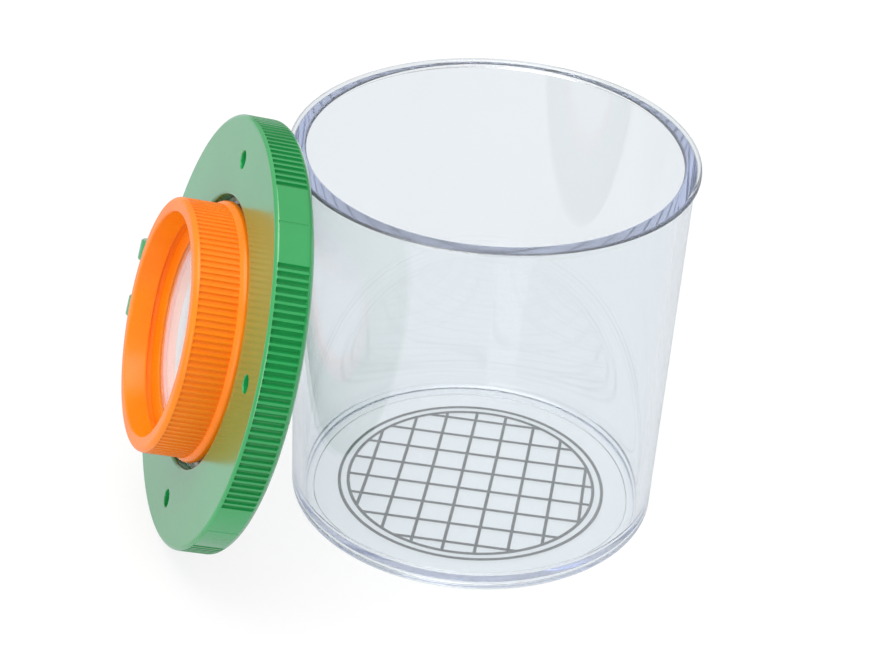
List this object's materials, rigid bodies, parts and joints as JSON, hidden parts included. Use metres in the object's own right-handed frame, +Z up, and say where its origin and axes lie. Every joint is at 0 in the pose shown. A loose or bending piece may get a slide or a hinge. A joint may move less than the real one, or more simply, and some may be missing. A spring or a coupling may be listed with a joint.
{
  "type": "bug catcher jar",
  "caption": "Clear jar with a measuring grid under its floor, and a push-on magnifier lid with a flip-up lens, leaning on the jar.",
  "frame": {"origin": "centre of the jar's foot, on the table", "axes": "+Z up along the jar's axis; the lid leans on the jar's -X side"},
  "size_m": [0.0881, 0.0676, 0.0664],
  "materials": {
    "clear_plastic": "gloss",
    "grid_ink": "matte",
    "green_plastic": "gloss",
    "orange_plastic": "gloss",
    "lens_plastic": "gloss",
    "pin_steel": "plain"
  },
  "bodies": {
    "jar": {"jar": "clear_plastic", "measuring_grid": "grid_ink"},
    "lid": {"lid": "green_plastic", "lid_lens": "lens_plastic", "hinge_pin": "pin_steel"},
    "flip": {"flip_ring": "orange_plastic", "flip_lens": "lens_plastic", "lens_retainer": "orange_plastic"}
  },
  "joints": [
    {"name": "lid_lift", "type": "slide", "parent": "jar", "child": "lid", "axis": [0, 0, 1], "range_m": [0, 0.07]},
    {"name": "lens_flip", "type": "hinge", "parent": "lid", "child": "flip", "pos_m": [-0.04924, 0.02516, 0.0274], "axis": [-0.2453, -0.2706, -0.9309], "range_deg": [0, 165]}
  ]
}
